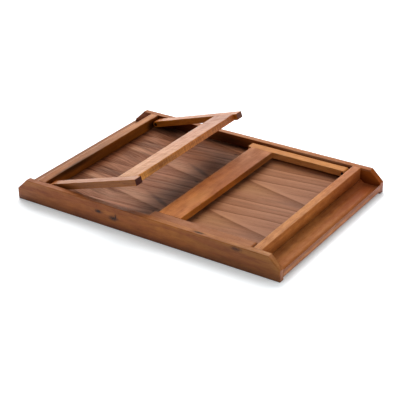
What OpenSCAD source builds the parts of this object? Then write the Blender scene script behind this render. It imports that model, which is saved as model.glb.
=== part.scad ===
// Folding bed tray lying on its rim, underside up.
// Two leg frames are hinged in a shallow recess behind the panel. One is folded
// flat, the other stands part of the way open. Each end of the tray has a
// moulded end rail with a cove under its lip, to carry the tray by.
// Millimetres. X runs along the length, Y across it, Z up from the surface.
// Origin: middle of the length and width, at the rim that meets the surface.

/* [Tray] */
// Overall length, over the ends of the side rails
body_len = 550; // [500:1:620]
// Overall width, over the outer faces of the side rails
body_wid = 370; // [300:1:420]
// Height of the side rails
rail_h = 42; // [40:0.5:48]
// Thickness of the side rails
rail_t = 12; // [11:0.5:16]
// Run of the slope at each end of a side rail, along the length
slope_len = 22; // [12:1:32]
// Height of the upright end of a side rail, below the slope
end_face_h = 21; // [16:1:30]
// Bevel on the edges of a side rail's upright and sloped end faces
end_bevel = 0.8; // [0.3:0.1:1.2]
// Radius of the other eased edges of the wooden pieces
ease_r = 1; // [0.5:0.1:1.5]

/* [End rails] */
// Width of an end rail, from the recess to its lip
end_rail_w = 57; // [50:0.5:64]
// Thickness of the upright wall beside the recess
wall_t = 16; // [14:0.5:20]
// Clear height between the surface and the underside of an end rail
end_lift = 4.5; // [2:0.5:6]
// Thickness of the end rail at the floor of the cove
cove_floor_t = 9.5; // [9:0.5:12]
// Radius of the cove where its floor meets the wall
cove_in_r = 12; // [6:0.5:14]
// Radius of the cove where its floor rises to the lip
cove_out_r = 18; // [12:0.5:22]
// Height of the lip above the cove floor
lip_rise = 5; // [3:0.5:7]

/* [Panel] */
// Thickness of the panel
panel_t = 6; // [4:0.5:7]
// Depth of the leg recess, from the top of the rails to the panel
recess_d = 20.5; // [19:0.5:23]
// How far the panel enters the grooves in the rails
panel_in = 5; // [3:0.5:6]
// Clearance round the panel in its grooves
panel_fit = 0.1; // [0.05:0.05:0.3]

/* [Leg frames] */
// Length of a leg arm, from the pivot to the foot
leg_len = 201; // [170:1:206]
// Width of a leg arm
leg_w = 18; // [14:0.5:24]
// Thickness of the leg arms and crossbars
leg_t = 12; // [10:0.5:13]
// Width of a crossbar
cross_w = 46; // [36:1:60]
// How far the feet stand past the crossbar
foot_len = 7.5; // [2:0.5:20]
// Depth of the folded leg frames below the top of the rails
leg_sink = 3.5; // [2:0.5:4]
// Gap between a leg frame and the side rail
leg_gap = 4; // [2:0.5:6]
// Distance from the end rail to the pivot axis
pivot_back = 9.5; // [9:0.5:14]
// How far the left leg frame stands open, in degrees
left_open = 17.5; // [0:0.5:90]

/* [Pivot screws] */
// Diameter of the smooth shank that the leg turns on
shank_d = 4.5; // [3.5:0.1:5]
// Diameter of the threaded end
thread_d = 4; // [3:0.1:4.5]
// Length of the threaded end in the side rail
thread_len = 8.5; // [6:0.5:9]
// Diameter of the head
head_d = 6.6; // [6:0.1:9]
// Thickness of the head
head_t = 2.2; // [1.8:0.1:3]
// Depth of the head recess in the leg arm
head_recess = 3; // [3:0.1:5]
// Radial clearance of the shank in the leg arm
turn_fit = 0.06; // [0.03:0.01:0.1]
// Outer diameter of the spacer between leg arm and side rail
spacer_d = 8; // [7:0.5:10]
// Length of the crossed slots in the head
slot_len = 4; // [3:0.1:5]
// Width of the slots
slot_w = 0.9; // [0.6:0.1:1.2]
// Depth of the slots
slot_d = 1.1; // [0.6:0.1:1.5]
// Bevel on the rim of the head
head_bevel = 0.6; // [0.3:0.1:1.2]
// How much the point of the thread narrows, on its radius
point_cut = 1; // [0.5:0.1:1.2]

/* [Dowels] */
// Diameter of the dowels that join the rails
rail_dowel_d = 6; // [4:0.5:6]
// Diameter of the dowels that join the leg frames
leg_dowel_d = 6; // [4:0.5:6]
// Length of a rail dowel inside the side rail
dowel_in_side = 8; // [6:0.5:9]
// Length of a leg dowel inside the leg arm
dowel_in_arm = 11; // [8:0.5:12]
// Length of every dowel inside the piece between
dowel_in_end = 20; // [12:1:30]
// Distance between the two dowels at each end of a crossbar
leg_dowel_gap = 24; // [16:1:28]
// Radial clearance of a glued dowel
dowel_fit = 0.05; // [0.02:0.01:0.1]

/* [Hidden] */

// Places that follow from the sizes above
half_len = body_len / 2;
half_wid = body_wid / 2;
end_x = half_len - end_rail_w;              // inner face of an end rail
side_y = half_wid - rail_t;                 // inner face of a side rail
slope_tilt = atan2(slope_len, rail_h - end_face_h);   // from upright, in degrees
panel_z = rail_h - recess_d;                // face of the panel in the recess
panel_low = panel_z - panel_t;              // face of the panel in the tray
groove_d = panel_in + panel_fit;
cove_z = end_lift + cove_floor_t;           // floor of the cove
cove_run = sqrt(pow(cove_out_r, 2) - pow(cove_out_r - lip_rise, 2));
frame_half = side_y - leg_gap;              // outer face of a leg arm
cross_half = frame_half - leg_w;            // inner face of a leg arm
pivot_x = end_x - pivot_back;
pivot_z = rail_h - leg_sink - leg_t / 2;
cross_x = leg_len - foot_len - cross_w;     // crossbar edge nearer the pivot

// Small clearances
play = 0.3;                                 // between pieces that turn past each other
pilot_fit = 0.05;                           // round the thread in its pilot hole
spare = 0.5;                                // depth left below a dowel or a screw
over = 1;                                   // how far a cut runs past a face

// Dowels of a rail joint, as distance out from the recess and height
rail_dowel_low = end_lift + cove_floor_t / 2;
rail_dowel_spots = [
    [wall_t / 2, (panel_z + rail_h) / 2],
    [wall_t / 2, rail_dowel_low],
    [end_rail_w - cove_run, rail_dowel_low]
];
leg_dowel_mid = cross_x + cross_w / 2;
leg_dowel_spots = [leg_dowel_mid - leg_dowel_gap / 2, leg_dowel_mid + leg_dowel_gap / 2];

wood_rail = "#8f5a38";
wood_end = "#a06638";
wood_panel = "#6b4636";
wood_leg = "#c08a58";
wood_dowel = "#d8b98a";
steel_dark = "#3a3634";

round_fn = 64;
ease_fn = 24;

// Shared shapes

// Rectangle with its corners eased, from the origin
module eased_rect(w, h) {
    translate([ease_r, 0]) square([w - 2 * ease_r, h]);
    translate([0, ease_r]) square([w, h - 2 * ease_r]);
    for (x = [ease_r, w - ease_r], y = [ease_r, h - ease_r])
        translate([x, y]) circle(ease_r, $fn = ease_fn);
}

// Bar along X with eased long edges, from the origin
module bar_along_x(length, w, h) {
    rotate([90, 0, 90]) linear_extrude(length) eased_rect(w, h);
}

// Outline in X and Z, drawn out along Y from y = 0 to y = length
module drawn_along_y(length) {
    translate([0, length, 0]) rotate([90, 0, 0]) linear_extrude(length) children();
}

// Board along X with the edges of its ends eased too, from the origin
module eased_board(length, w, h) {
    intersection() {
        bar_along_x(length, w, h);
        linear_extrude(h) eased_rect(length, w);
        drawn_along_y(w) eased_rect(length, h);
    }
}

// Hole or rod along +Y from the origin
module rod_along_y(d, length) {
    rotate([-90, 0, 0]) cylinder(d = d, h = length, $fn = round_fn);
}

module at_near_and_far() {
    children();
    mirror([0, 1, 0]) children();
}

module at_left_and_right() {
    children();
    mirror([1, 0, 0]) children();
}

// Tray frame

// All that lies behind the right-hand end face of a side rail, with the edges
// of that face bevelled: the face stands at x = 0 and the rail at -X
module behind_end_face() {
    linear_extrude(2 * body_len, center = true) polygon([
        [0, end_bevel], [0, rail_t - end_bevel], [-end_bevel, rail_t],
        [-2 * body_len, rail_t], [-2 * body_len, 0], [-end_bevel, 0]
    ]);
}

// All that lies behind both the upright end and the slope of a side rail, at
// its right-hand end
module within_end() {
    translate([half_len, 0, end_face_h]) intersection() {
        behind_end_face();
        rotate([0, -slope_tilt, 0]) behind_end_face();
    }
}

// Side rail before it is grooved and drilled
module side_board() {
    intersection() {
        translate([-half_len, 0, 0]) bar_along_x(body_len, rail_t, rail_h);
        within_end();
        mirror([1, 0, 0]) within_end();
    }
}

// Groove that the panel sits in, as wide as the panel and its clearance
module panel_groove() {
    translate([-end_x - groove_d, -side_y - groove_d, panel_low - panel_fit])
        cube([2 * (end_x + groove_d), 2 * (side_y + groove_d), panel_t + 2 * panel_fit]);
}

module side_rail() {
    difference() {
        translate([0, -half_wid, 0]) side_board();
        panel_groove();
        at_left_and_right() {
            for (spot = rail_dowel_spots)
                translate([end_x + spot[0], -side_y - dowel_in_side - spare, spot[1]])
                    rod_along_y(rail_dowel_d + 2 * dowel_fit, dowel_in_side + spare + over);
            translate([pivot_x, -side_y - thread_len - spare, pivot_z])
                rod_along_y(thread_d + 2 * pilot_fit, thread_len + spare + over);
        }
    }
}

// Section of an end rail: upright wall, cove and lip in one moulding,
// with the recess side at x = 0
module end_section() {
    difference() {
        union() {
            translate([0, end_lift]) eased_rect(wall_t, rail_h - end_lift);
            translate([0, end_lift]) eased_rect(end_rail_w, cove_floor_t + lip_rise);
        }
        translate([wall_t, cove_z + cove_in_r]) square([end_rail_w, rail_h]);
        translate([wall_t + cove_in_r, cove_z])
            square([end_rail_w - cove_run - wall_t - cove_in_r, cove_in_r + over]);
        translate([wall_t + cove_in_r, cove_z + cove_in_r])
            circle(cove_in_r, $fn = round_fn);
        translate([end_rail_w - cove_run, cove_z + cove_out_r])
            circle(cove_out_r, $fn = round_fn);
    }
}

module end_rail() {
    difference() {
        translate([end_x, -side_y, 0]) drawn_along_y(2 * side_y) end_section();
        panel_groove();
        at_near_and_far()
            for (spot = rail_dowel_spots)
                translate([end_x + spot[0], -side_y - over, spot[1]])
                    rod_along_y(rail_dowel_d + 2 * dowel_fit, dowel_in_end + spare + over);
    }
}

module panel_board() {
    translate([-end_x - panel_in, -side_y - panel_in, panel_low])
        cube([2 * (end_x + panel_in), 2 * (side_y + panel_in), panel_t]);
}

// Dowels of the two corners at the right-hand end
module rail_dowels() {
    at_near_and_far()
        for (spot = rail_dowel_spots)
            translate([end_x + spot[0], -side_y - dowel_in_side, spot[1]])
                rod_along_y(rail_dowel_d, dowel_in_side + dowel_in_end);
}

// Leg frames, drawn with the pivot axis at the origin and the feet at +X

// Leg arm before it is drilled: straight and eased at the foot
module arm_board() {
    intersection() {
        translate([-leg_t, 0, -leg_t / 2]) eased_board(leg_len + leg_t, leg_w, leg_t);
        translate([0, 0, -leg_t]) cube([leg_len, leg_w, 2 * leg_t]);
    }
}

// Half round end of a leg arm, turned about the pivot axis with eased rims
module arm_round_end() {
    rotate([-90, 0, 0]) rotate([0, 0, 90]) rotate_extrude(angle = 180, $fn = round_fn)
        intersection() {
            translate([-leg_t / 2, 0]) eased_rect(leg_t, leg_w);
            square([leg_t / 2, leg_w]);
        }
}

// Near arm: its outer face towards the side rail, its head recess inside
module leg_arm() {
    difference() {
        translate([0, -frame_half, 0]) {
            arm_board();
            arm_round_end();
        }
        translate([0, -frame_half - over, 0])
            rod_along_y(shank_d + 2 * turn_fit, leg_w + 2 * over);
        translate([0, -cross_half - head_recess, 0])
            rod_along_y(head_d + 2 * play, head_recess + over);
        for (x = leg_dowel_spots)
            translate([x, -cross_half - dowel_in_arm - spare, 0])
                rod_along_y(leg_dowel_d + 2 * dowel_fit, dowel_in_arm + spare + over);
    }
}

module crossbar() {
    difference() {
        translate([cross_x, -cross_half, -leg_t / 2])
            drawn_along_y(2 * cross_half) eased_rect(cross_w, leg_t);
        at_near_and_far()
            for (x = leg_dowel_spots)
                translate([x, -cross_half - over, 0])
                    rod_along_y(leg_dowel_d + 2 * dowel_fit, dowel_in_end + spare + over);
    }
}

module leg_dowels() {
    at_near_and_far()
        for (x = leg_dowel_spots)
            translate([x, -cross_half - dowel_in_arm, 0])
                rod_along_y(leg_dowel_d, dowel_in_arm + dowel_in_end);
}

// Puts a leg frame piece at the left, open by left_open
module left_leg() {
    translate([-pivot_x, 0, pivot_z]) rotate([0, -left_open, 0]) children();
}

// Puts a leg frame piece at the right, folded flat
module right_leg() {
    translate([pivot_x, 0, pivot_z]) mirror([1, 0, 0]) children();
}

// Pivot screw of the near side: thread in the side rail, shank through the
// spacer and the leg arm, cross-slotted head in the head recess
module pivot_screw() {
    head_y = leg_gap + leg_w - head_recess + play;
    head_top = head_y + head_t;
    translate([0, -side_y, 0]) rotate([-90, 0, 0]) difference() {
        rotate_extrude($fn = round_fn) polygon([
            [0, -thread_len], [thread_d / 2 - point_cut, -thread_len],
            [thread_d / 2, -thread_len + 2 * point_cut], [thread_d / 2, 0],
            [shank_d / 2, 0], [shank_d / 2, head_y], [head_d / 2, head_y],
            [head_d / 2, head_top - head_bevel], [head_d / 2 - head_bevel, head_top],
            [0, head_top]
        ]);
        for (turn = [0, 90])
            rotate([0, 0, turn])
                translate([-slot_len / 2, -slot_w / 2, head_top - slot_d])
                    cube([slot_len, slot_w, slot_d + over]);
    }
}

// Spacer of the near side, seated on the side rail
module spacer() {
    translate([0, -side_y, 0]) rotate([-90, 0, 0]) difference() {
        cylinder(d = spacer_d, h = leg_gap - play, $fn = round_fn);
        translate([0, 0, -over])
            cylinder(d = shank_d + 2 * dowel_fit, h = leg_gap + 2 * over, $fn = round_fn);
    }
}

module at_left_pivot() {
    translate([-pivot_x, 0, pivot_z]) children();
}

module at_right_pivot() {
    translate([pivot_x, 0, pivot_z]) children();
}

// One module for each piece

module side_rail_near() { color(wood_rail) side_rail(); }
module side_rail_far() { color(wood_rail) mirror([0, 1, 0]) side_rail(); }
module end_rail_right() { color(wood_end) end_rail(); }
module end_rail_left() { color(wood_end) mirror([1, 0, 0]) end_rail(); }
module tray_panel() { color(wood_panel) panel_board(); }
module rail_dowels_right() { color(wood_dowel) rail_dowels(); }
module rail_dowels_left() { color(wood_dowel) mirror([1, 0, 0]) rail_dowels(); }

module left_arm_near() { color(wood_leg) left_leg() leg_arm(); }
module left_arm_far() { color(wood_leg) left_leg() mirror([0, 1, 0]) leg_arm(); }
module left_crossbar() { color(wood_leg) left_leg() crossbar(); }
module left_leg_dowels() { color(wood_dowel) left_leg() leg_dowels(); }
module right_arm_near() { color(wood_leg) right_leg() leg_arm(); }
module right_arm_far() { color(wood_leg) right_leg() mirror([0, 1, 0]) leg_arm(); }
module right_crossbar() { color(wood_leg) right_leg() crossbar(); }
module right_leg_dowels() { color(wood_dowel) right_leg() leg_dowels(); }

module left_pivot_near() { color(steel_dark) at_left_pivot() pivot_screw(); }
module left_pivot_far() { color(steel_dark) at_left_pivot() mirror([0, 1, 0]) pivot_screw(); }
module right_pivot_near() { color(steel_dark) at_right_pivot() pivot_screw(); }
module right_pivot_far() { color(steel_dark) at_right_pivot() mirror([0, 1, 0]) pivot_screw(); }
module left_spacer_near() { color(steel_dark) at_left_pivot() spacer(); }
module left_spacer_far() { color(steel_dark) at_left_pivot() mirror([0, 1, 0]) spacer(); }
module right_spacer_near() { color(steel_dark) at_right_pivot() spacer(); }
module right_spacer_far() { color(steel_dark) at_right_pivot() mirror([0, 1, 0]) spacer(); }

side_rail_near();
side_rail_far();
end_rail_left();
end_rail_right();
tray_panel();
rail_dowels_left();
rail_dowels_right();
left_arm_near();
left_arm_far();
left_crossbar();
left_leg_dowels();
right_arm_near();
right_arm_far();
right_crossbar();
right_leg_dowels();
left_pivot_near();
left_pivot_far();
right_pivot_near();
right_pivot_far();
left_spacer_near();
left_spacer_far();
right_spacer_near();
right_spacer_far();
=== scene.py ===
import math

import bpy
from mathutils import Matrix, Vector

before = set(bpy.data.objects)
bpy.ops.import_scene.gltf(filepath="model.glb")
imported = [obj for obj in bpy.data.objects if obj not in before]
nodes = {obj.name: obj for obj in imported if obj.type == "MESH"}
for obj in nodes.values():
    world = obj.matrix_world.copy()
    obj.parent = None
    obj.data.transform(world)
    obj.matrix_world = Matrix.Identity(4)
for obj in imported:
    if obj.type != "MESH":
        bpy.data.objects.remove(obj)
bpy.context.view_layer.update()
scene = bpy.context.scene
print("frame loaded:", len(nodes), "pieces")


# Small helpers

millimetres = (1000, 1000, 1000)   # Object coordinates are metres, and the patterns are in mm
noiseMiddle = 0.5                  # the value that a noise swings round


def linear(hexColour):
    # sRGB hex to the linear colour that shaders take
    parts = [int(hexColour[i:i + 2], 16) / 255 for i in (1, 3, 5)]
    return [c / 12.92 if c <= 0.04045 else ((c + 0.055) / 1.055) ** 2.4 for c in parts] + [1.0]


def addNode(tree, kind, values=None, links=None, **settings):
    # One node with its settings, its socket values and its incoming links
    made = tree.nodes.new(kind)
    for name, value in settings.items():
        setattr(made, name, value)
    for socket, value in (values or {}).items():
        made.inputs[socket].default_value = value
    for socket, source in (links or {}).items():
        tree.links.new(source, made.inputs[socket])
    return made


def newMaterial(name):
    # An empty material that ends in a Principled shader
    material = bpy.data.materials.new(name)
    material.use_nodes = True
    tree = material.node_tree
    tree.nodes.clear()
    shader = addNode(tree, "ShaderNodeBsdfPrincipled")
    addNode(tree, "ShaderNodeOutputMaterial", links={"Surface": shader.outputs["BSDF"]})
    return material, tree, shader


def scaleFor(sizes):
    # Scale of a pattern that has these sizes
    return [1 / size for size in sizes]


def setRamp(ramp, stops):
    # Colour stops of a ramp, as position and hex colour
    elements = ramp.color_ramp.elements
    while len(elements) > len(stops):
        elements.remove(elements[-1])
    while len(elements) < len(stops):
        elements.new(1.0)
    for element, (position, colour) in zip(elements, stops):
        element.position = position
        element.color = linear(colour)


def dress(material, *names):
    # Gives CAD pieces their finish
    for name in names:
        data = nodes[name].data
        data.materials.clear()
        data.materials.append(material)


# Camera, at the photograph's viewing angle

cameraPlace = {
    "position": (1.0676, -1.5623, 0.9924),
    "yaw": 34.394,           # degrees to the left of +Y
    "pitch": 27.936,         # degrees below the horizon
    "roll": -1.25,           # degrees
    "lens": 105.6,           # mm
    "sensor": 36.0,          # mm
    "clip": (0.05, 60.0),    # m, nearest and farthest that it sees
}
cameraData = bpy.data.cameras.new("photoCamera")
cameraData.lens = cameraPlace["lens"]
cameraData.sensor_width = cameraPlace["sensor"]
cameraData.clip_start, cameraData.clip_end = cameraPlace["clip"]
camera = bpy.data.objects.new("photoCamera", cameraData)
scene.collection.objects.link(camera)
camera.matrix_world = (
    Matrix.Translation(cameraPlace["position"])
    @ Matrix.Rotation(math.radians(cameraPlace["yaw"]), 4, "Z")
    @ Matrix.Rotation(math.radians(90 - cameraPlace["pitch"]), 4, "X")
    @ Matrix.Rotation(math.radians(cameraPlace["roll"]), 4, "Z")
)
scene.camera = camera
print("camera set")


# Soft studio light: a high key from the back left, two weak fills, and two cards that only gloss shows

scene.view_settings.view_transform = "Standard"
plainWhite = (1.0, 1.0, 1.0)
warmWhite = (1.0, 0.95, 0.86)

studioLights = {
    "keySoftbox": {"towards": (-0.62, 0.80, 1.00), "distance": 4.8, "size": (3.8, 3.8), "power": 350,
                   "lit": True, "mirrored": False, "colour": plainWhite},
    "frontFill": {"towards": (-0.45, -0.85, 1.00), "distance": 4.2, "size": (3.6, 3.6), "power": 22,
                  "lit": True, "mirrored": False, "colour": plainWhite},
    "rightCard": {"towards": (1.00, -0.10, 0.45), "distance": 1.15, "size": (0.9, 0.6), "power": 3.6,
                  "lit": True, "mirrored": False, "colour": plainWhite},
    "backStrip": {"towards": (-0.68, 0.75, 0.10), "distance": 2.6, "size": (2.4, 0.5), "power": 15,
                  "lit": False, "mirrored": True, "colour": warmWhite},
    "backGlow": {"towards": (-0.50, 0.88, 0.52), "distance": 2.6, "size": (1.6, 1.1), "power": 8,
                 "lit": False, "mirrored": True, "colour": warmWhite},
}
for name, look in studioLights.items():
    lampData = bpy.data.lights.new(name, "AREA")
    lampData.shape = "RECTANGLE"
    lampData.size, lampData.size_y = look["size"]
    lampData.energy = look["power"]
    lampData.color = look["colour"]
    lamp = bpy.data.objects.new(name, lampData)
    scene.collection.objects.link(lamp)
    away = Vector(look["towards"]).normalized()
    lamp.location = away * look["distance"]
    lamp.rotation_euler = away.to_track_quat("Z", "Y").to_euler()
    lamp.visible_camera = False
    lamp.visible_diffuse = look["lit"]
    lamp.visible_glossy = look["mirrored"]

studioRoom = {"colour": (1.0, 1.0, 1.0, 1.0), "strength": 0.04}   # what the white walls give back
world = bpy.data.worlds.new("studioRoom")
world.use_nodes = True
worldLight = world.node_tree.nodes["Background"]
worldLight.inputs["Color"].default_value = studioRoom["colour"]
worldLight.inputs["Strength"].default_value = studioRoom["strength"]
scene.world = world

studioFloor = {
    "size": 40.0,               # m
    "colour": "#e8e8ea",
    "roughness": 0.9,
    "shine": 0.1,
    "glow": 0.62,               # strength of the light under the sheet, round the object
    "farGlow": 1.15,            # and further out
    "glowChange": (1.5, 3.2),   # m from the middle, where it changes
    "glowColour": (0.92, 0.985, 1.0, 1.0),
    "paintedShadowReach": 0.055,           # m, how far from the object the glow is dimmed into a painted contact shadow
    "paintedShadowSamples": 8,
}
bpy.ops.mesh.primitive_plane_add(size=studioFloor["size"], location=(0.0, 0.0, 0.0))
floor = bpy.context.object
floor.name = "studioFloor"
# Frosted acrylic with light under it: matt and almost white, and shadows on it stay pale
floorPaint, floorTree, floorShader = newMaterial("frostedAcrylicFloor")
floorShader.inputs["Base Color"].default_value = linear(studioFloor["colour"])
floorShader.inputs["Roughness"].default_value = studioFloor["roughness"]
floorShader.inputs["Specular IOR Level"].default_value = studioFloor["shine"]
floorShader.inputs["Emission Color"].default_value = studioFloor["glowColour"]
# Further out, past the reach of the softboxes, the light under it is stronger
glowStart, glowEnd = studioFloor["glowChange"]
floorPlace = addNode(floorTree, "ShaderNodeTexCoord")
floorReach = addNode(floorTree, "ShaderNodeVectorMath", {}, {0: floorPlace.outputs["Object"]},
                     operation="LENGTH")
floorGlow = addNode(floorTree, "ShaderNodeMapRange",
                    {"From Min": glowStart, "From Max": glowEnd, "To Min": studioFloor["glow"],
                     "To Max": studioFloor["farGlow"]},
                    {"Value": floorReach.outputs["Value"]}, interpolation_type="SMOOTHSTEP")
# Painted contact shadow: the glow is dimmed close to the object, where it hides the sky
floorPaintedShadow = addNode(floorTree, "ShaderNodeAmbientOcclusion", {"Distance": studioFloor["paintedShadowReach"]},
                       samples=studioFloor["paintedShadowSamples"])
floorGlow = addNode(floorTree, "ShaderNodeMath", {},
                    {0: floorGlow.outputs[0], 1: floorPaintedShadow.outputs["AO"]}, operation="MULTIPLY")
floorTree.links.new(floorGlow.outputs[0], floorShader.inputs["Emission Strength"])
floor.data.materials.append(floorPaint)

# A round curtain of the same sheet closes the view past the floor. It neither lights the object
# nor shows in its gloss
studioCurtain = {"radius": 19.0, "height": 6.0, "panels": 96}
bpy.ops.mesh.primitive_cylinder_add(vertices=studioCurtain["panels"], radius=studioCurtain["radius"],
                                    depth=studioCurtain["height"], end_fill_type="NOTHING",
                                    location=(0.0, 0.0, studioCurtain["height"] / 2))
curtain = bpy.context.object
curtain.name = "studioCurtain"
curtain.data.materials.append(floorPaint)
curtain.visible_diffuse = False
curtain.visible_glossy = False
print("studio set")


# Solid wood: every piece is its own board, with growth rings, fibres, pores and knots

allAlong = 900   # mm, a half size that is longer than any piece

plainBoard = {
    "turn": (0, 0, 0),           # degrees that turn the board's grain onto X
    "cut": (0, 0, 0),            # mm, the part of the tree that the board comes from
    "bend": (170, 45, 45),       # mm between two bends of the grain
    "wander": 5.0,               # mm that the grain wanders there
    "pith": (70, -35),           # mm, the heart of the tree, across the board
    "ring": 4.2,                 # mm between growth rings
    "ringProfile": [(0.0, "#000000"), (0.5, "#505050"), (0.88, "#ffffff"), (1.0, "#000000")],
    "ringMean": 0.25,            # how dark that is on average
    "ringVariety": 0.45,         # how fast the rings change from one to the next
    "ringDark": 0.30,            # depth of the late wood
    "fibre": (55, 1.6, 1.6),     # mm, bundles of fibres: single ones are too fine to show
    "fibreRough": 0.8,           # how strong the finest of them are
    "fibreDark": 1.35,           # depth of the fibres
    "pore": (8, 0.8, 0.8),       # mm, drawn wider than the 0.3 mm of real ones, which wouldn't show
    "poreEdge": (0.60, 0.72),
    "poreDark": 0.5,             # depth of the pores
    "ribbon": 0.0,               # depth of the ribbons across the grain
    "ribbonGap": 3.0,            # mm between ribbons
    "ribbonLength": 30,          # mm
    "ribbonEdge": (0.35, 0.65),
    "mottle": 0.22,              # depth of the cloudy figure
    "mottleSize": (26, 8, 8),    # mm
    "mottleEdge": (0.3, 0.7),
    "hues": [(-275, "#9a5c33"), (275, "#9a5c33")],   # colour at places along the grain, mm
    "deep": (0.50, 0.36, 0.26),  # tone of the darkest grain against the base colour
    "blush": "#80452b",          # second colour, in broad streaks
    "blushShare": 0.5,
    "blushSize": (200, 13, 13),  # mm
    "blushEdge": (0.40, 0.66),
    "sideShading": (1, 1, 1),          # tone of the side faces against the top: partly the sawn edges' own tone, partly painted light and shade for how they are lit
    "ends": (0.54, 0.52, 0.54),  # tone of the end grain
    "endFacing": (0.45, 0.95),   # how far a face turns to the grain before it is end grain
    "knots": [],                 # centre and half sizes in mm, on the piece itself
    "stainsShadeAndLight": [],                # real stains, painted shade and painted highlights: centre and half sizes in mm, turn in degrees, colour and share
    "nookShade": (1, 1, 1),          # tone of the painted shade in corners
    "toneSpan": (-0.3, 0.5),     # from the palest to the darkest grain
    "roughness": (0.32, 0.48),   # of the palest and the darkest grain
    "relief": 0.2,               # mm, how far the dark grain lies below the surface
    "reliefShare": 0.25,         # how much of that the light shows
    "shine": 0.22,
}
knotShape = {
    "lumps": 0.35,               # per mm, of the ragged outline
    "ragged": (1.6, 1.6, 1.6),   # in half sizes, how far the outline strays
    "heart": (0.1, 2.3),         # in half sizes, where the dark heart starts to fade and where it ends
    "heartDark": 0.95,           # share of its colour in the middle
    "swell": (0.5, 5.0),         # in half sizes, where the rings are pushed aside
    "ringsPushed": 1.4,          # how many rings they are pushed
    "colour": "#1c0d06",
}


def boardKnots(tree, piece, count, knots):
    # Knots push the rings aside and darken the wood round their hearts
    rough = addNode(tree, "ShaderNodeTexNoise", {"Scale": knotShape["lumps"], "Detail": 2.0},
                    {"Vector": piece})
    ragged = addNode(tree, "ShaderNodeVectorMath", {1: [noiseMiddle] * 3}, {0: rough.outputs["Color"]},
                     operation="SUBTRACT")
    heartEdge, heartEnd = knotShape["heart"]
    swellEdge, swellEnd = knotShape["swell"]
    shade = None
    for centre, halfSize in knots:
        away = addNode(tree, "ShaderNodeVectorMath", {1: centre}, {0: piece}, operation="SUBTRACT")
        unit = addNode(tree, "ShaderNodeVectorMath", {1: scaleFor(halfSize)}, {0: away.outputs[0]},
                       operation="MULTIPLY")
        bent = addNode(tree, "ShaderNodeVectorMath", {1: knotShape["ragged"]},
                       {0: ragged.outputs[0], 2: unit.outputs[0]}, operation="MULTIPLY_ADD")
        reach = addNode(tree, "ShaderNodeVectorMath", {}, {0: bent.outputs[0]}, operation="LENGTH")
        heart = addNode(tree, "ShaderNodeMapRange",
                        {"From Min": heartEdge, "From Max": heartEnd,
                         "To Min": knotShape["heartDark"], "To Max": 0.0},
                        {"Value": reach.outputs["Value"]}, interpolation_type="SMOOTHSTEP")
        swell = addNode(tree, "ShaderNodeMapRange",
                        {"From Min": swellEdge, "From Max": swellEnd,
                         "To Min": knotShape["ringsPushed"], "To Max": 0.0},
                        {"Value": reach.outputs["Value"]}, interpolation_type="SMOOTHSTEP")
        count = addNode(tree, "ShaderNodeMath", {}, {0: count, 1: swell.outputs[0]},
                        operation="ADD").outputs[0]
        if shade is None:
            shade = heart.outputs[0]
        else:
            shade = addNode(tree, "ShaderNodeMath", {}, {0: shade, 1: heart.outputs[0]},
                            operation="MAXIMUM").outputs[0]
    return count, shade


# Painted shade in corners and crevices, where little light reaches
paintedNookShade = {
    "reach": 0.03,      # m from the corner
    "closed": 0.25,     # share of open sky where the painted shade is darkest
    "open": 0.85,       # and where it fades out
    "samples": 8,
}


def paintShadeInNooks(tree, colour, tone):
    # Painted shade: the colour darkens in corners and crevices, by how little sky they see
    nook = addNode(tree, "ShaderNodeAmbientOcclusion", {"Distance": paintedNookShade["reach"]},
                   samples=paintedNookShade["samples"])
    clear = addNode(tree, "ShaderNodeMapRange",
                    {"From Min": paintedNookShade["closed"], "From Max": paintedNookShade["open"]},
                    {"Value": nook.outputs["AO"]})
    shaded = addNode(tree, "ShaderNodeVectorMath", {1: tone}, {0: colour}, operation="MULTIPLY")
    return addNode(tree, "ShaderNodeMix", {}, {0: clear.outputs[0], 6: shaded.outputs[0], 7: colour},
                   data_type="RGBA").outputs[2]


patchFade = {"from": 0.15, "to": 1.5}   # in half sizes from the centre


def addStainShadeOrLight(tree, place, colour, mark):
    # A soft patch of another colour, used for stains and for painted shade and highlights: centre, half
    # sizes, turn about Z, colour and share
    centre, halfSize, turn, patchColour, most = mark
    unit = addNode(tree, "ShaderNodeMapping",
                   {"Location": centre, "Rotation": (0, 0, math.radians(turn)), "Scale": halfSize},
                   {"Vector": place}, vector_type="TEXTURE")
    reach = addNode(tree, "ShaderNodeVectorMath", {}, {0: unit.outputs[0]}, operation="LENGTH")
    heart = addNode(tree, "ShaderNodeMapRange",
                    {"From Min": patchFade["from"], "From Max": patchFade["to"], "To Min": most,
                     "To Max": 0.0},
                    {"Value": reach.outputs["Value"]}, interpolation_type="SMOOTHSTEP")
    return addNode(tree, "ShaderNodeMix", {7: linear(patchColour)}, {0: heart.outputs[0], 6: colour},
                   data_type="RGBA").outputs[2]


def colourAlong(tree, distance, hues):
    # Base colours at their places in mm, blended from one to the next
    start, end = hues[0][0], hues[-1][0]
    share = addNode(tree, "ShaderNodeMapRange", {"From Min": start, "From Max": end},
                    {"Value": distance})
    hue = addNode(tree, "ShaderNodeValToRGB", {}, {"Fac": share.outputs[0]})
    setRamp(hue, [((at - start) / (end - start), colour) for at, colour in hues])
    return hue.outputs["Color"]


def deepenGrain(tree, colour, tone, deep):
    # From the base colour down to the tone of the darkest grain, and as far the other way
    deepColour = addNode(tree, "ShaderNodeVectorMath", {1: deep}, {0: colour}, operation="MULTIPLY")
    return addNode(tree, "ShaderNodeMix", {}, {0: tone, 6: colour, 7: deepColour.outputs[0]},
                   data_type="RGBA", clamp_factor=False).outputs[2]


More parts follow.
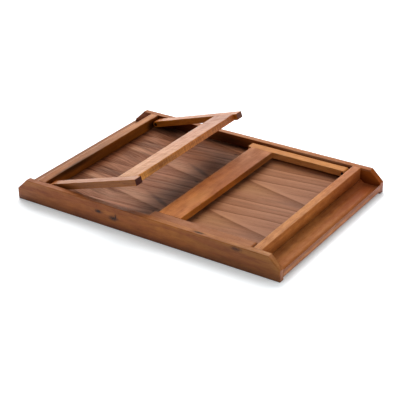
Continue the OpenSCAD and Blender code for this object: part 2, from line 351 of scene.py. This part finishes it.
def oilFinish(tree, shader, tone, look):
    # Oil leaves a satin gloss, duller in the dark grain, which lies a little below the surface
    pale, dark = look["toneSpan"]
    smooth, dull = look["roughness"]
    gloss = addNode(tree, "ShaderNodeMapRange",
                    {"From Min": pale, "From Max": dark, "To Min": smooth, "To Max": dull},
                    {"Value": tone})
    tree.links.new(gloss.outputs[0], shader.inputs["Roughness"])
    relief = addNode(tree, "ShaderNodeBump",
                     {"Strength": look["reliefShare"], "Distance": look["relief"] / 1000},
                     {"Height": tone}, invert=True)
    tree.links.new(relief.outputs[0], shader.inputs["Normal"])
    shader.inputs["Specular IOR Level"].default_value = look["shine"]


def solidWood(name, look):
    # Oiled hardwood, planed and sanded: a satin gloss over grain that runs through the piece
    wood = {**plainBoard, **look}
    material, tree, shader = newMaterial(name)
    turn = [math.radians(angle) for angle in wood["turn"]]
    place = addNode(tree, "ShaderNodeTexCoord")
    piece = addNode(tree, "ShaderNodeMapping", {"Scale": millimetres},
                    {"Vector": place.outputs["Object"]}).outputs[0]
    along = addNode(tree, "ShaderNodeMapping", {"Rotation": turn}, {"Vector": piece}).outputs[0]
    board = addNode(tree, "ShaderNodeVectorMath", {1: wood["cut"]}, {0: along},
                    operation="ADD").outputs[0]

    # The grain wanders a few millimetres over the length of a hand
    slow = addNode(tree, "ShaderNodeMapping", {"Scale": scaleFor(wood["bend"])}, {"Vector": board})
    sway = addNode(tree, "ShaderNodeTexNoise", {"Scale": 1.0, "Detail": 1.0},
                   {"Vector": slow.outputs[0]})
    centred = addNode(tree, "ShaderNodeVectorMath", {1: [noiseMiddle] * 3}, {0: sway.outputs["Color"]},
                      operation="SUBTRACT")
    swing = 2 * wood["wander"]
    grain = addNode(tree, "ShaderNodeVectorMath", {1: (0, swing, swing)},
                    {0: centred.outputs[0], 2: board}, operation="MULTIPLY_ADD").outputs[0]

    # Growth rings, counted outwards from the heart of the tree
    across = addNode(tree, "ShaderNodeVectorMath", {1: (0, 1, 1)}, {0: grain}, operation="MULTIPLY")
    radius = addNode(tree, "ShaderNodeVectorMath", {1: (0, *wood["pith"])}, {0: across.outputs[0]},
                     operation="DISTANCE")
    count = addNode(tree, "ShaderNodeMath", {1: wood["ring"]}, {0: radius.outputs["Value"]},
                    operation="DIVIDE").outputs[0]
    knotShade = None
    if wood["knots"]:
        count, knotShade = boardKnots(tree, piece, count, wood["knots"])
    year = addNode(tree, "ShaderNodeMath", {}, {0: count}, operation="FRACT")
    lateWood = addNode(tree, "ShaderNodeValToRGB", {}, {"Fac": year.outputs[0]})
    setRamp(lateWood, wood["ringProfile"])
    decade = addNode(tree, "ShaderNodeTexNoise", {"Scale": wood["ringVariety"], "Detail": 2.0},
                     {"W": count}, noise_dimensions="1D")
    ringShade = addNode(tree, "ShaderNodeMath", {},
                        {0: lateWood.outputs["Color"], 1: decade.outputs["Fac"]},
                        operation="MULTIPLY")

    # Fibres and pores, stretched along the grain
    fine = addNode(tree, "ShaderNodeMapping", {"Scale": scaleFor(wood["fibre"])}, {"Vector": grain})
    fibre = addNode(tree, "ShaderNodeTexNoise",
                    {"Scale": 1.0, "Detail": 4.0, "Roughness": wood["fibreRough"]},
                    {"Vector": fine.outputs[0]})
    dash = addNode(tree, "ShaderNodeMapping", {"Scale": scaleFor(wood["pore"])}, {"Vector": grain})
    pore = addNode(tree, "ShaderNodeTexNoise", {"Scale": 1.0, "Detail": 1.0},
                   {"Vector": dash.outputs[0]})
    low, high = wood["poreEdge"]
    poreShade = addNode(tree, "ShaderNodeMapRange", {"From Min": low, "From Max": high},
                        {"Value": pore.outputs["Fac"]})

    # How much darker than its base colour the wood is, which is close to nothing on average
    level = -wood["ringMean"] * wood["ringDark"] - noiseMiddle * wood["fibreDark"]
    tone = addNode(tree, "ShaderNodeMath", {1: wood["ringDark"], 2: level},
                   {0: ringShade.outputs[0]}, operation="MULTIPLY_ADD")
    tone = addNode(tree, "ShaderNodeMath", {1: wood["fibreDark"]},
                   {0: fibre.outputs["Fac"], 2: tone.outputs[0]}, operation="MULTIPLY_ADD")
    tone = addNode(tree, "ShaderNodeMath", {1: wood["poreDark"]},
                   {0: poreShade.outputs[0], 2: tone.outputs[0]}, operation="MULTIPLY_ADD")
    if wood["ribbon"]:
        ribbonSize = (wood["ribbonGap"], wood["ribbonLength"], wood["ribbonLength"])
        band = addNode(tree, "ShaderNodeMapping", {"Scale": scaleFor(ribbonSize)}, {"Vector": grain})
        wave = addNode(tree, "ShaderNodeTexNoise", {"Scale": 1.0, "Detail": 1.0},
                       {"Vector": band.outputs[0]})
        low, high = wood["ribbonEdge"]
        ribbon = addNode(tree, "ShaderNodeMapRange",
                         {"From Min": low, "From Max": high, "To Min": -wood["ribbon"] / 2,
                          "To Max": wood["ribbon"] / 2}, {"Value": wave.outputs["Fac"]})
        tone = addNode(tree, "ShaderNodeMath", {}, {0: ribbon.outputs[0], 1: tone.outputs[0]},
                       operation="ADD")

    cloud = addNode(tree, "ShaderNodeMapping", {"Scale": scaleFor(wood["mottleSize"])},
                    {"Vector": board})
    figure = addNode(tree, "ShaderNodeTexNoise", {"Scale": 1.0, "Detail": 2.0},
                     {"Vector": cloud.outputs[0]})
    low, high = wood["mottleEdge"]
    patch = addNode(tree, "ShaderNodeMapRange",
                    {"From Min": low, "From Max": high, "To Min": -wood["mottle"],
                     "To Max": wood["mottle"]}, {"Value": figure.outputs["Fac"]})
    tone = addNode(tree, "ShaderNodeMath", {}, {0: patch.outputs[0], 1: tone.outputs[0]},
                   operation="ADD").outputs[0]

    # Colour along the board, with broad streaks of the second colour
    reachAlong = addNode(tree, "ShaderNodeSeparateXYZ", {}, {"Vector": along})
    hue = colourAlong(tree, reachAlong.outputs["X"], wood["hues"])
    spread = addNode(tree, "ShaderNodeMapping", {"Scale": scaleFor(wood["blushSize"])},
                     {"Vector": grain})
    broad = addNode(tree, "ShaderNodeTexNoise", {"Scale": 1.0, "Detail": 2.0},
                    {"Vector": spread.outputs[0]})
    low, high = wood["blushEdge"]
    streak = addNode(tree, "ShaderNodeMapRange",
                     {"From Min": low, "From Max": high, "To Max": wood["blushShare"]},
                     {"Value": broad.outputs["Fac"]}, interpolation_type="SMOOTHSTEP")
    ground = addNode(tree, "ShaderNodeMix", {7: linear(wood["blush"])},
                     {0: streak.outputs[0], 6: hue}, data_type="RGBA").outputs[2]
    colour = deepenGrain(tree, ground, tone, wood["deep"])
    if knotShade:
        colour = addNode(tree, "ShaderNodeMix", {7: linear(knotShape["colour"])},
                         {0: knotShade, 6: colour}, data_type="RGBA").outputs[2]

    # The sawn edges of a board are cut across its rings, so their tone differs from its faces. The
    # factor also paints light and shade on the side faces, lightened or darkened for how light falls on
    # them
    facing = addNode(tree, "ShaderNodeMapping", {"Rotation": turn}, {"Vector": place.outputs["Normal"]},
                     vector_type="VECTOR")
    normal = addNode(tree, "ShaderNodeSeparateXYZ", {}, {"Vector": facing.outputs[0]})
    sideways = addNode(tree, "ShaderNodeMath", {}, {0: normal.outputs["Y"]}, operation="ABSOLUTE")
    sideShaded = addNode(tree, "ShaderNodeVectorMath", {1: wood["sideShading"]}, {0: colour}, operation="MULTIPLY")
    colour = addNode(tree, "ShaderNodeMix", {},
                     {0: sideways.outputs[0], 6: colour, 7: sideShaded.outputs[0]},
                     data_type="RGBA").outputs[2]

    # End grain drinks the oil and turns darker
    endways = addNode(tree, "ShaderNodeMath", {}, {0: normal.outputs["X"]}, operation="ABSOLUTE")
    low, high = wood["endFacing"]
    endGrain = addNode(tree, "ShaderNodeMapRange", {"From Min": low, "From Max": high},
                       {"Value": endways.outputs[0]})
    drunk = addNode(tree, "ShaderNodeVectorMath", {1: wood["ends"]}, {0: colour}, operation="MULTIPLY")
    colour = addNode(tree, "ShaderNodeMix", {}, {0: endGrain.outputs[0], 6: colour, 7: drunk.outputs[0]},
                     data_type="RGBA").outputs[2]
    for mark in wood["stainsShadeAndLight"]:
        colour = addStainShadeOrLight(tree, piece, colour, mark)
    # Painted shade in corners, on the boards that have it
    if wood["nookShade"] != plainBoard["nookShade"]:
        colour = paintShadeInNooks(tree, colour, wood["nookShade"])
    tree.links.new(colour, shader.inputs["Base Color"])
    oilFinish(tree, shader, tone, wood)
    return material


# Side rails: reddish brown boards, golden along their upper edge, with painted shade towards the foot of
# the near one

nearRailBoard = {
    "cut": (40, 12, 3), "pith": (95, -60), "ring": 5.0, "blush": "#8e4d2a", "blushShare": 0.7,
    # Its corners get painted shade
    "nookShade": (0.42, 0.30, 0.18), "ends": (0.8, 0.62, 0.6),
    "hues": [(-275, "#986147"), (-150, "#995c33"), (60, "#a26432"), (275, "#a67141")],
    "mottle": 0.34, "ringDark": 0.32,
    # Painted shadow of the raised near arm on the top
    "stainsShadeAndLight": [((-20, -179, 42), (50, 7, 5), 0, "#7c3402", 0.5),
               ((200, -185, 22), (110, 3, 60), 0, "#602c08", 0.45),
               # Painted shade along the foot of the outer face
               ((0, -185, 2), (allAlong, 3, 8), 0, "#5e3018", 0.35),
               # Painted highlight: a pale sheen on the top at the right end
               ((264, -179, 42), (14, 7, 5), 0, "#bc8260", 0.5)],
    "knots": [((-89.3, -185, 25.2), (6.0, 5.0, 2.4)), ((-57.1, -185, 20.6), (6.5, 5.0, 3.0)),
              ((-52.1, -185, 22.6), (1.6, 5.0, 4.5)), ((192.9, -185, 36.6), (7.0, 5.0, 2.8)),
              ((117.9, -179.3, 42), (8.0, 1.8, 2.5))],
    "sideShading": (1.01, 0.85, 0.39),
}
farRailBoard = {
    "cut": (400, 140, 20), "pith": (60, 80), "ring": 4.6, "blush": "#8f4e22", "blushShare": 0.5,
    "hues": [(-275, "#935328"), (0, "#a36435"), (180, "#a35d24"), (275, "#954d19")],
    # Its corners get painted shade
    "nookShade": (0.42, 0.30, 0.18), "ends": (0.8, 0.62, 0.6),
    # Painted shadow on the inner face, under the raised far arm and the raised frame
    "stainsShadeAndLight": [((-150, 173, 28), (50, 5, 12), 0, "#1c0a04", 0.5),
               ((-55, 173, 30), (45, 5, 12), 0, "#1e0a03", 0.75),
               # Painted highlight along the inner top edge
               ((140, 172, 40), (100, 2.5, 3), 0, "#d2a888", 0.85)],
    "sideShading": (0.98, 0.90, 0.80),
}
dress(solidWood("oiledHardwoodNearRail", nearRailBoard), "side_rail_near")
dress(solidWood("oiledHardwoodFarRail", farRailBoard), "side_rail_far")


# End rails: moulded lengths, the right one of a lighter and more orange board

rightEndBoard = {
    "turn": (0, 0, -90), "cut": (700, 30, 12), "pith": (-330, 60), "ring": 4.0,
    "blush": "#9d5d31", "blushShare": 0.45,
    "hues": [(-175, "#b07242"), (0, "#c48247"), (90, "#b16a39"), (175, "#b87147")],
    "ringDark": 0.15, "mottle": 0.34, "mottleSize": (22, 9, 9),
    # Painted shade in the inner corner of the cove
    "stainsShadeAndLight": [((237, 0, 21), (9, allAlong, 10), 0, "#5a2a0c", 0.45),
               ((258, 0, 14), (12, allAlong, 8), 0, "#96542a", 0.5),
               # Painted shade on the rise and crest of the lip
               ((272, 0, 17), (8, allAlong, 6), 0, "#6e3c20", 0.7),
               ((275, 0, 17), (2, allAlong, 3), 0, "#7a3c14", 0.6),
               # Painted shade along the foot of the lip
               ((275, 0, 5), (3, allAlong, 3), 0, "#744420", 0.6),
               # Painted shade over the far part of the cove, beside the far rail
               ((255, 92, 14), (12, 135, 8), 0, "#7a2804", 0.38),
               ((245, 180, 20), (30, 90, 20), 0, "#7a2c04", 0.4)],
    "sideShading": (0.90, 0.76, 0.54),
}
leftEndBoard = {
    "turn": (0, 0, -90), "cut": (-500, 60, 5), "pith": (300, 50), "ring": 3.6,
    "blush": "#8b542f", "blushShare": 0.6,
    "hues": [(-175, "#ae714a"), (0, "#8c5a3a"), (90, "#b1754b"), (175, "#b5764c")],
    # Its corners get painted shade
    "nookShade": (0.60, 0.45, 0.25),
    # Painted shadow of the raised near arm on the inner face, then painted shade round the far pivot
    "stainsShadeAndLight": [((-218, -95, 39), (5, 75, 7), 0, "#1a0a03", 0.85),
               ((-218, 150, 28), (6, 14, 12), 0, "#120a06", 0.8),
               ((-269, 0, 18), (7, allAlong, 7), 0, "#d0a084", 0.9)],
    "sideShading": (0.99, 0.82, 0.26),
}
dress(solidWood("oiledHardwoodRightEnd", rightEndBoard), "end_rail_right")
dress(solidWood("oiledHardwoodLeftEnd", leftEndBoard), "end_rail_left")


# Leg frames: the raised one on the left, the folded one on the right

raisedTilt = 17.5   # degrees, as the left frame stands at rest

leftArmNearBoard = {
    "turn": (0, raisedTilt, 0), "cut": (90, 300, 45), "pith": (-40, 70), "ring": 3.4,
    "hues": [(-210, "#9a5728"), (-20, "#a15d2a")], "blush": "#8c481f", "blushShare": 0.4,
    "ends": (0.16, 0.05, 0.01),
    "sideShading": (0.78, 0.81, 0.65),
}
leftArmFarBoard = {
    "turn": (0, raisedTilt, 0), "cut": (300, -240, 80), "pith": (50, 60), "ring": 3.4,
    "hues": [(-210, "#a15821"), (-20, "#9c5622")], "blush": "#8d4618", "blushShare": 0.4,
    "ends": (0.5, 0.4, 0.42),
    "sideShading": (1.39, 1.63, 1.05),
}
leftCrossbarBoard = {
    "turn": (0, raisedTilt, -90), "cut": (240, 30, 70), "pith": (20, 55), "ring": 3.2,
    "hues": [(-150, "#b87531"), (60, "#a0561b"), (150, "#884319")], "blush": "#99541d",
    "blushShare": 0.4, "ribbon": 0.5, "ribbonGap": 2.6,
    "stainsShadeAndLight": [((-24, -80, 90), (3, 60, 14), 0, "#5a2408", 0.45)],
    "sideShading": (1.68, 1.90, 2.25),
}
dress(solidWood("oiledHardwoodLeftArmNear", leftArmNearBoard), "left_arm_near")
dress(solidWood("oiledHardwoodLeftArmFar", leftArmFarBoard), "left_arm_far")
dress(solidWood("oiledHardwoodLeftCrossbar", leftCrossbarBoard), "left_crossbar")

rightArmNearBoard = {
    "cut": (510, 80, 33), "pith": (40, 90), "ring": 4.0, "blush": "#874e2d",
    "hues": [(0, "#965b38"), (215, "#9a5f37")],
}
rightArmFarBoard = {
    "cut": (620, 10, 90), "pith": (30, 70), "ring": 3.0, "blush": "#ad6e38", "blushShare": 0.4,
    "hues": [(0, "#b8763d"), (215, "#c07c3d")],
    "sideShading": (1.12, 1.27, 1.56),
}
rightCrossbarBoard = {
    "turn": (0, 0, -90), "cut": (820, 55, 21), "pith": (25, 80), "ring": 6.5, "ringDark": 0.2,
    "blush": "#95511f", "blushShare": 0.4,
    "hues": [(-150, "#b56b2e"), (-30, "#9b531b"), (50, "#934c19"), (150, "#aa673b")],
    "mottle": 0.42, "mottleSize": (34, 14, 14),
    "stainsShadeAndLight": [((3, 20, 38), (7, 120, 6), 0, "#a04a28", 0.5),
               ((44, -70, 38), (12, 36, 6), 0, "#c07c38", 0.4),
               # Painted shade on the right face, towards the far end
               ((61, 110, 34), (2.5, 80, 7), 0, "#301200", 0.45)],
    "ribbon": 0.15, "ribbonGap": 7,
    "sideShading": (1.25, 1.41, 1.31),
}
dress(solidWood("oiledHardwoodRightArmNear", rightArmNearBoard), "right_arm_near")
dress(solidWood("oiledHardwoodRightArmFar", rightArmFarBoard), "right_arm_far")
dress(solidWood("oiledHardwoodRightCrossbar", rightCrossbarBoard), "right_crossbar")


# Dowels: pale beech pins, glued out of sight

dowelPin = {
    "turn": (0, 0, -90), "cut": (0, 900, 0), "pith": (60, 60), "ring": 2.2, "ringDark": 0.2,
    "fibreDark": 0.5, "hues": [(-180, "#caa06c"), (180, "#caa06c")], "blush": "#b88a58",
    "roughness": (0.56, 0.72),
}
dress(solidWood("beechDowel", dowelPin),
      "rail_dowels_left", "rail_dowels_right", "left_leg_dowels", "right_leg_dowels")
print("boards cut and oiled")


# Panel: walnut veneer in slip-matched leaves, all cut from one flitch

everyLeaf = 1e6   # in leaves, a half size that takes in all of them

panelVeneer = {
    "leafWidth": 132.5,      # mm across the grain
    "leafEdge": 8.0,         # mm, Y of one joint between two leaves
    "bend": (75, 28),        # mm between two bends of the grain
    "bendChange": 0.15,      # how much they change from one leaf to the next
    "sway": 2.5,             # mm that the lines sway there
    "tipHeight": 54.0,       # mm up a leaf, where the cathedral tips point
    "tipAt": 66.0,           # mm, X of one tip
    "axisSlope": -0.053,     # how the tips drift down the leaf
    "taper": 0.155,          # how fast the arches open
    "tipBlunt": 5.0,         # mm, how round the tips are
    "ring": 26.0,            # mm between two years on a leaf
    "ringProfile": [(0.0, "#f0f0f0"), (0.04, "#ffffff"), (0.13, "#dcdcdc"), (0.34, "#b8b8b8"),
                    (0.70, "#a4a4a4"), (0.90, "#585858"), (0.965, "#000000"), (1.0, "#a8a8a8")],
    "ringDark": 1.05,        # depth of the late wood
    "flatShare": 0.45,       # below the tips, how close the years lie against those above
    "flatReach": 8.0,        # mm to either side of the tips, where that changes
    "grainSlope": 0.18,      # of the fine streaks
    "grainDrop": (-225, -105, 30.0),   # X from, X to, mm that the streaks fall between them
    "fineSize": (50, 2.4),   # mm, fine streaks
    "fineRough": 0.75,       # how strong the finest of them are
    "fineShare": 3.0,        # their strength against the wide ones
    "wideSize": (160, 8),    # mm, wide streaks
    "streakChange": 0.2,     # how much they change from one leaf to the next
    "streakDark": [(-150, 1.25), (-20, 0.75), (70, 0.35)],   # depth of the streaks at places on X
    "pore": (8, 1.0),        # mm, drawn wider than the 0.3 mm of real ones, which wouldn't show
    "poreEdge": (0.58, 0.72),
    "poreDark": 0.36,        # depth of the pores
    # Darker round -40 mm: partly the veneer's own tone, partly painted shade of the raised crossbar
    "hues": [(-222, "#7f523a"), (-120, "#87553d"), (-40, "#794c34"), (20, "#845336"),
             (90, "#946142"), (222, "#94654c")],
    "deep": (0.42, 0.28, 0.19),    # tone of the darkest grain against the base colour
    "purple": "#5d3b2a",     # second colour, in the wide streaks
    "purpleShare": 0.55,     # of it, where the streaks are at full depth
    "purpleEdge": (0.48, 0.68),
    "toneSpan": (-0.4, 0.6),       # from the palest to the darkest grain
    "roughness": (0.38, 0.52),     # of the palest and the darkest grain
    "relief": 0.2,           # mm, how far the dark grain lies below the surface
    "reliefShare": 0.2,      # how much of that the light shows
    "shine": 0.12,
    # Marks that every leaf repeats: X and height, half sizes, turn, colour, share
    "marks": [((65, 15, 0), (6.0, 4.0, everyLeaf), 0, "#2c1810", 0.8),
              ((-10.6, 128.4, 0), (4.5, 3.5, everyLeaf), 0, "#200f08", 0.8),
              ((-26, 34, 0), (44.0, 5.0, everyLeaf), -24, "#34120a", 0.65),
              ((-14, 66, 0), (40.0, 18.0, everyLeaf), -6, "#502818", 0.45),
              ((-84, 38, 0), (44.0, 16.0, everyLeaf), -10, "#a07458", 0.4),
              ((92, 26, 0), (42.0, 20.0, everyLeaf), 4, "#a4744a", 0.45),
              ((188, 14, 0), (34.0, 14.0, everyLeaf), 4, "#74503e", 0.5),
              ((-183, 78, 0), (60.0, 9.0, everyLeaf), 5, "#503428", 0.5),
              ((-183, 50, 0), (50.0, 8.0, everyLeaf), 3, "#a8785a", 0.45)],
    # Marks of the whole sheet. The first two are painted shadow under the raised far arm and the raised
    # frame
    "stainsShadeAndLight": [((-180, 166, 21), (40.0, 12.0, 20), 0, "#100602", 0.8),
               ((-60, 168, 21), (60.0, 12.0, 20), 0, "#140702", 0.8),
               # Painted shadow of the left end rail
               ((-212, 20, 21), (14.0, 160.0, 20), 0, "#6a3418", 0.6),
               # Painted light: a paler stripe that lifts the shade beside the folded crossbar
               ((63, 0, 21), (6.0, 170.0, 20), 0, "#b07048", 0.25),
               # Painted light that lifts the shade under the folded far arm
               ((135, 155, 21), (80.0, 8.0, 20), 0, "#b4683c", 0.7),
               ((-110, -115, 21), (60.0, 26.0, 20), 10, "#a08068", 0.22)],
}


def walnutVeneer(name, look):
    # Sanded and oiled walnut veneer: brown arches with dark edges, short open pores, low gloss
    material, tree, shader = newMaterial(name)
    place = addNode(tree, "ShaderNodeTexCoord")
    sheet = addNode(tree, "ShaderNodeMapping", {"Scale": millimetres},
                    {"Vector": place.outputs["Object"]})
    spot = addNode(tree, "ShaderNodeSeparateXYZ", {}, {"Vector": sheet.outputs[0]})
    fromEdge = addNode(tree, "ShaderNodeMath", {1: look["leafEdge"]}, {0: spot.outputs["Y"]},
                       operation="SUBTRACT")
    height = addNode(tree, "ShaderNodeMath", {1: look["leafWidth"]}, {0: fromEdge.outputs[0]},
                     operation="FLOORED_MODULO").outputs[0]
    leafShare = addNode(tree, "ShaderNodeMath", {1: look["leafWidth"]}, {0: fromEdge.outputs[0]},
                        operation="DIVIDE")
    leaf = addNode(tree, "ShaderNodeMath", {}, {0: leafShare.outputs[0]}, operation="FLOOR").outputs[0]
    # The leaves are almost alike: each is a shaving below the one before
    leafPlace = addNode(tree, "ShaderNodeCombineXYZ", {},
                        {"X": spot.outputs["X"], "Y": height, "Z": leaf}).outputs[0]

    slow = addNode(tree, "ShaderNodeMapping",
                   {"Scale": (*scaleFor(look["bend"]), look["bendChange"])}, {"Vector": leafPlace})
    sway = addNode(tree, "ShaderNodeTexNoise", {"Scale": 1.0, "Detail": 1.0},
                   {"Vector": slow.outputs[0]})
    centred = addNode(tree, "ShaderNodeMath", {1: noiseMiddle}, {0: sway.outputs["Fac"]},
                      operation="SUBTRACT").outputs[0]

    # Arches: the saw passed through tapering cones of growth
    fromTip = addNode(tree, "ShaderNodeMath", {1: look["tipAt"]}, {0: spot.outputs["X"]},
                      operation="SUBTRACT").outputs[0]
    axis = addNode(tree, "ShaderNodeMath", {1: look["axisSlope"], 2: look["tipHeight"]},
                   {0: fromTip}, operation="MULTIPLY_ADD")
    offAxis = addNode(tree, "ShaderNodeMath", {}, {0: height, 1: axis.outputs[0]},
                      operation="SUBTRACT").outputs[0]
    swayed = addNode(tree, "ShaderNodeMath", {1: 2 * look["sway"]}, {0: centred, 2: offAxis},
                     operation="MULTIPLY_ADD").outputs[0]
    squared = addNode(tree, "ShaderNodeMath", {}, {0: swayed, 1: swayed}, operation="MULTIPLY")
    blunt = addNode(tree, "ShaderNodeMath", {1: look["tipBlunt"] ** 2}, {0: squared.outputs[0]},
                    operation="ADD")
    radius = addNode(tree, "ShaderNodeMath", {}, {0: blunt.outputs[0]}, operation="SQRT")
    cone = addNode(tree, "ShaderNodeMath", {1: -look["taper"]}, {0: fromTip, 2: radius.outputs[0]},
                   operation="MULTIPLY_ADD")
    level = addNode(tree, "ShaderNodeMath", {1: look["tipBlunt"]}, {0: cone.outputs[0]},
                    operation="SUBTRACT")
    # Below the tips the saw ran flatter, so the years lie further apart
    flat = addNode(tree, "ShaderNodeMapRange",
                   {"From Min": -look["flatReach"], "From Max": look["flatReach"],
                    "To Min": look["flatShare"] / look["ring"], "To Max": 1 / look["ring"]},
                   {"Value": swayed})
    count = addNode(tree, "ShaderNodeMath", {}, {0: level.outputs[0], 1: flat.outputs[0]},
                    operation="MULTIPLY").outputs[0]
    year = addNode(tree, "ShaderNodeMath", {}, {0: count}, operation="FRACT")
    arch = addNode(tree, "ShaderNodeValToRGB", {}, {"Fac": year.outputs[0]})
    setRamp(arch, look["ringProfile"])

    # Streaks that run with the grain, strongest at the left
    fromSlope = addNode(tree, "ShaderNodeMath", {1: -look["grainSlope"]}, {0: fromTip, 2: swayed},
                        operation="MULTIPLY_ADD")
    dropFrom, dropTo, fall = look["grainDrop"]
    drop = addNode(tree, "ShaderNodeMapRange",
                   {"From Min": dropFrom, "From Max": dropTo, "To Min": -fall, "To Max": 0.0},
                   {"Value": spot.outputs["X"]}, interpolation_type="SMOOTHSTEP")
    fromSlope = addNode(tree, "ShaderNodeMath", {}, {0: fromSlope.outputs[0], 1: drop.outputs[0]},
                        operation="ADD")
    line = addNode(tree, "ShaderNodeCombineXYZ", {},
                   {"X": spot.outputs["X"], "Y": fromSlope.outputs[0], "Z": leaf}).outputs[0]
    fineLine = addNode(tree, "ShaderNodeMapping",
                       {"Scale": (*scaleFor(look["fineSize"]), look["streakChange"])},
                       {"Vector": line})
    fine = addNode(tree, "ShaderNodeTexNoise",
                   {"Scale": 1.0, "Detail": 3.0, "Roughness": look["fineRough"]},
                   {"Vector": fineLine.outputs[0]})
    wideLine = addNode(tree, "ShaderNodeMapping",
                       {"Scale": (*scaleFor(look["wideSize"]), look["streakChange"])},
                       {"Vector": line})
    wide = addNode(tree, "ShaderNodeTexNoise", {"Scale": 1.0, "Detail": 2.0},
                   {"Vector": wideLine.outputs[0]})
    both = addNode(tree, "ShaderNodeMath", {1: look["fineShare"]},
                   {0: fine.outputs["Fac"], 2: wide.outputs["Fac"]}, operation="MULTIPLY_ADD")
    streaks = addNode(tree, "ShaderNodeMath", {1: noiseMiddle * (look["fineShare"] + 1)},
                      {0: both.outputs[0]}, operation="SUBTRACT")
    strength = None
    for (start, weak), (end, strong) in zip(look["streakDark"], look["streakDark"][1:]):
        change = addNode(tree, "ShaderNodeMapRange",
                         {"From Min": start, "From Max": end, "To Max": strong - weak},
                         {"Value": spot.outputs["X"]}, interpolation_type="SMOOTHSTEP")
        before = {0: change.outputs[0]} if strength is None else {0: change.outputs[0], 1: strength}
        first = {1: look["streakDark"][0][1]} if strength is None else {}
        strength = addNode(tree, "ShaderNodeMath", first, before, operation="ADD").outputs[0]
    dash = addNode(tree, "ShaderNodeMapping", {"Scale": (*scaleFor(look["pore"]), 1)},
                   {"Vector": leafPlace})
    pore = addNode(tree, "ShaderNodeTexNoise", {"Scale": 1.0, "Detail": 1.0},
                   {"Vector": dash.outputs[0]})
    low, high = look["poreEdge"]
    poreShade = addNode(tree, "ShaderNodeMapRange", {"From Min": low, "From Max": high},
                        {"Value": pore.outputs["Fac"]})

    tone = addNode(tree, "ShaderNodeMath", {1: look["ringDark"], 2: -look["ringDark"] / 2},
                   {0: arch.outputs["Color"]}, operation="MULTIPLY_ADD")
    tone = addNode(tree, "ShaderNodeMath", {},
                   {0: streaks.outputs[0], 1: strength, 2: tone.outputs[0]},
                   operation="MULTIPLY_ADD")
    tone = addNode(tree, "ShaderNodeMath", {1: look["poreDark"]},
                   {0: poreShade.outputs[0], 2: tone.outputs[0]},
                   operation="MULTIPLY_ADD").outputs[0]

    # Colour along the sheet, more purple in the wide streaks
    hue = colourAlong(tree, spot.outputs["X"], look["hues"])
    share = addNode(tree, "ShaderNodeMath", {1: look["purpleShare"]}, {0: strength},
                    operation="MULTIPLY")
    low, high = look["purpleEdge"]
    streak = addNode(tree, "ShaderNodeMapRange", {"From Min": low, "From Max": high},
                     {"Value": wide.outputs["Fac"], "To Max": share.outputs[0]},
                     interpolation_type="SMOOTHSTEP")
    ground = addNode(tree, "ShaderNodeMix", {7: linear(look["purple"])},
                     {0: streak.outputs[0], 6: hue}, data_type="RGBA").outputs[2]
    for mark in look["marks"]:
        ground = addStainShadeOrLight(tree, leafPlace, ground, mark)
    for mark in look["stainsShadeAndLight"]:
        ground = addStainShadeOrLight(tree, sheet.outputs[0], ground, mark)
    colour = deepenGrain(tree, ground, tone, look["deep"])
    tree.links.new(colour, shader.inputs["Base Color"])
    oilFinish(tree, shader, tone, look)
    return material


dress(walnutVeneer("oiledWalnutVeneer", panelVeneer), "tray_panel")
print("panel veneered")


# Pivot screws and spacers: steel blackened by hot oil

blackSteel = {
    "colour": "#34302e",
    "worn": "#6a6460",          # where it is rubbed
    "wearSize": 1.2,            # mm between two rubbed spots
    "wearEdge": (0.52, 0.72),
    "roughness": (0.52, 0.32),  # of the dull and of the rubbed steel
}


def oilBlackenedSteel(name, look):
    # Turned steel quenched in oil: almost black, with a dull metal shine where it is rubbed
    material, tree, shader = newMaterial(name)
    place = addNode(tree, "ShaderNodeTexCoord")
    spread = addNode(tree, "ShaderNodeMapping", {"Scale": [1000 / look["wearSize"]] * 3},
                     {"Vector": place.outputs["Object"]})
    cloud = addNode(tree, "ShaderNodeTexNoise", {"Scale": 1.0, "Detail": 3.0},
                    {"Vector": spread.outputs[0]})
    low, high = look["wearEdge"]
    rubbed = addNode(tree, "ShaderNodeMapRange", {"From Min": low, "From Max": high},
                     {"Value": cloud.outputs["Fac"]})
    colour = addNode(tree, "ShaderNodeMix", {6: linear(look["colour"]), 7: linear(look["worn"])},
                     {0: rubbed.outputs[0]}, data_type="RGBA")
    tree.links.new(colour.outputs[2], shader.inputs["Base Color"])
    dull, smooth = look["roughness"]
    gloss = addNode(tree, "ShaderNodeMapRange", {"To Min": dull, "To Max": smooth},
                    {"Value": cloud.outputs["Fac"]})
    tree.links.new(gloss.outputs[0], shader.inputs["Roughness"])
    shader.inputs["Metallic"].default_value = 1.0
    return material


steelNames = [name for name in nodes if "_pivot_" in name or "_spacer_" in name]
dress(oilBlackenedSteel("oilBlackenedSteel", blackSteel), *steelNames)
print("screws blackened")
